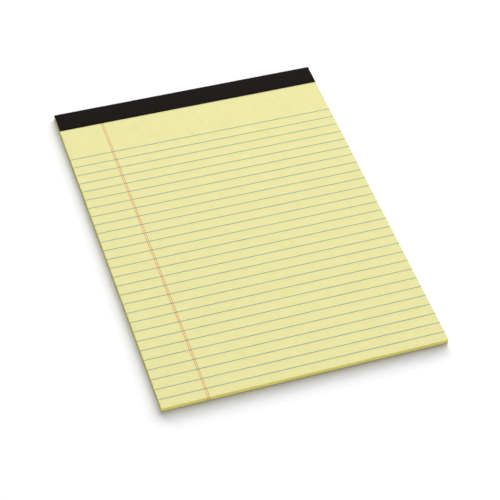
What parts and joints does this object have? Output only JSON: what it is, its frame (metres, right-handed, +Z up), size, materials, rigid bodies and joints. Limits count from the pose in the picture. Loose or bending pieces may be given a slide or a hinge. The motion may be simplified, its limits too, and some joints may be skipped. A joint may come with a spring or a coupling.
{
  "type": "legal pad",
  "caption": "Flat writing pad: ruled yellow sheets with a red margin on a chipboard back, stapled at the top edge under a folded black binding tape.",
  "frame": {"origin": "centre of the pad's outline, on the plane that the pad lies on", "axes": "+X to the right across the sheet as it is read, +Y along the sheet towards the bound top edge, +Z up through the sheets"},
  "size_m": [0.216, 0.2986, 0.0045],
  "materials": {
    "canary_paper": "matt uncoated writing paper, canary yellow",
    "chipboard": "raw grey-brown board with fibre flecks",
    "black_tape": "matt black coated paper tape with a fine grain",
    "steel_wire": "bright drawn wire",
    "blue_ink": "flat printed ink",
    "red_ink": "flat printed ink"
  },
  "bodies": {
    "root": {"sheet_block": "canary_paper", "backing_board": "chipboard", "binding_tape": "black_tape", "staples": "steel_wire", "ruled_lines": "blue_ink", "margin_lines": "red_ink"}
  },
  "joints": []
}
